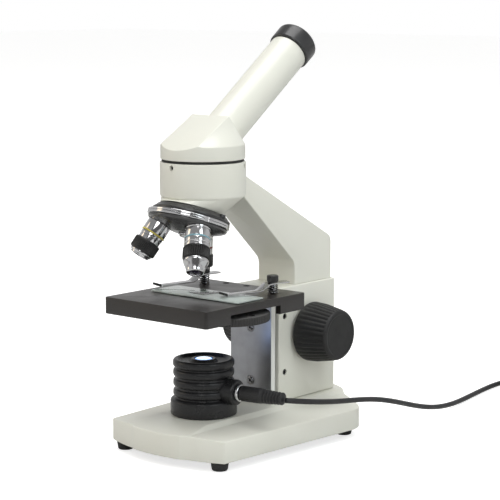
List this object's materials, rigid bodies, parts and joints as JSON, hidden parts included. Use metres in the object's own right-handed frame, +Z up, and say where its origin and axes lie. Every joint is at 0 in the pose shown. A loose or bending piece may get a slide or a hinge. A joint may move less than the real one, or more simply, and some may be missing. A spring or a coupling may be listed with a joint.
{
  "type": "monocular compound microscope",
  "caption": "Upright student's microscope with a tilted eyepiece tube, a turning lens turret, a clip stage, a ribbed base lamp and a corded mains adapter.",
  "frame": {"origin": "on the table, under the middle of the microscope's base", "axes": "+X to the user's right, +Y from the front of the base towards the arm, +Z up"},
  "size_m": [0.192, 0.3955, 0.281],
  "materials": {
    "ivory_enamel": "semi-gloss ivory enamel on cast metal",
    "black_enamel": "satin black enamel",
    "grey_bracket": "satin grey",
    "black_knob": "fine-grained black moulding",
    "black_lamp": "glossy black moulding",
    "cord_black": "matt black sheath",
    "rubber_foot": "matt black rubber",
    "chrome": "bright plating",
    "steel": "bright turned steel",
    "brass": "turned brass",
    "clear_glass": "clear glass",
    "board_white": "white coated board"
  },
  "bodies": {
    "frame": {"base_casting": "ivory_enamel", "base_cover": "black_enamel", "rubber_foot_front_left": "rubber_foot", "rubber_foot_front_right": "rubber_foot", "rubber_foot_rear_left": "rubber_foot", "rubber_foot_rear_right": "rubber_foot", "focus_housing": "ivory_enamel", "bracket_set_screw_1": "black_enamel", "bracket_set_screw_2": "black_enamel", "shaft_bushing_left": "brass", "shaft_bushing_right": "brass", "stage_bracket": "grey_bracket", "bracket_screw_1": "steel", "bracket_screw_2": "steel", "stage_plate": "black_enamel", "stage_screw_1": "steel", "stage_screw_2": "steel", "condenser_lens": "clear_glass", "diaphragm_screw": "steel", "clip_spring_left": "chrome", "clip_spring_right": "chrome", "clip_post_left": "black_enamel", "clip_post_right": "black_enamel", "lamp_body": "black_lamp", "lamp_lens": "clear_glass", "led_board": "board_white", "jack_nut": "chrome", "cord_plug": "cord_black", "cord_run": "cord_black", "cord_coil": "cord_black", "mains_adapter": "cord_black"},
    "carriage": {"arm": "ivory_enamel", "head_set_screw_1": "black_enamel", "head_set_screw_2": "black_enamel", "head_set_screw_3": "black_enamel", "focus_rack": "brass", "head_bearing_ring": "black_knob", "nosepiece_mount": "black_enamel"},
    "pinion": {"pinion_shaft": "steel", "focus_knob_left": "black_knob", "focus_knob_right": "black_knob"},
    "head": {"head_casing": "ivory_enamel", "head_prism": "clear_glass", "eyepiece_tube": "ivory_enamel"},
    "eyepiece": {"eyepiece_barrel": "black_enamel", "eye_lens": "clear_glass"},
    "turret": {"turret_ring": "chrome", "turret_carrier": "black_enamel", "turret_screw": "chrome", "objective_4x_barrel": "chrome", "objective_4x_lens": "clear_glass", "objective_10x_barrel": "chrome", "objective_10x_lens": "clear_glass", "objective_40x_barrel": "chrome", "objective_40x_lens": "clear_glass"},
    "diaphragm": {"diaphragm_disc": "black_enamel"},
    "clip_left": {"stage_clip_left": "chrome"},
    "clip_right": {"stage_clip_right": "chrome"},
    "specimen": {"specimen_slide": "clear_glass", "cover_glass": "clear_glass"}
  },
  "joints": [
    {"name": "focus_slide", "type": "slide", "parent": "frame", "child": "carriage", "axis": [0, 0, 1], "range_m": [-0.005, 0.03]},
    {"name": "focus_knobs", "type": "hinge", "parent": "frame", "child": "pinion", "pos_m": [0, 0.0475, 0.0705], "axis": [1, 0, 0], "range_deg": [-60, 359]},
    {"name": "head_turn", "type": "hinge", "parent": "carriage", "child": "head", "pos_m": [0, -0.04, 0.195], "axis": [0, 0, 1], "continuous": true},
    {"name": "turret_turn", "type": "hinge", "parent": "carriage", "child": "turret", "pos_m": [0, -0.05419, 0.1562], "axis": [0, 0.342, 0.9397], "continuous": true},
    {"name": "diaphragm_turn", "type": "hinge", "parent": "frame", "child": "diaphragm", "pos_m": [0.0215, -0.041, 0.0937], "axis": [0, 0, 1], "continuous": true},
    {"name": "clip_left_swing", "type": "hinge", "parent": "frame", "child": "clip_left", "pos_m": [-0.0304, -0.0052, 0.111], "axis": [0, 0, 1], "range_deg": [-60, 25]},
    {"name": "clip_right_swing", "type": "hinge", "parent": "frame", "child": "clip_right", "pos_m": [0.0304, -0.0052, 0.111], "axis": [0, 0, 1], "range_deg": [-10, 60]},
    {"name": "slide_shift", "type": "slide", "parent": "frame", "child": "specimen", "axis": [1, 0, 0], "range_m": [-0.01, 0.01]},
    {"name": "eyepiece_pull", "type": "slide", "parent": "head", "child": "eyepiece", "axis": [0, 0.8039, 0.5948], "range_m": [0, 0.018]}
  ],
  "couplings": [
    {"joint": "focus_knobs", "follows": "focus_slide", "rad_per_m": 208.33}
  ]
}
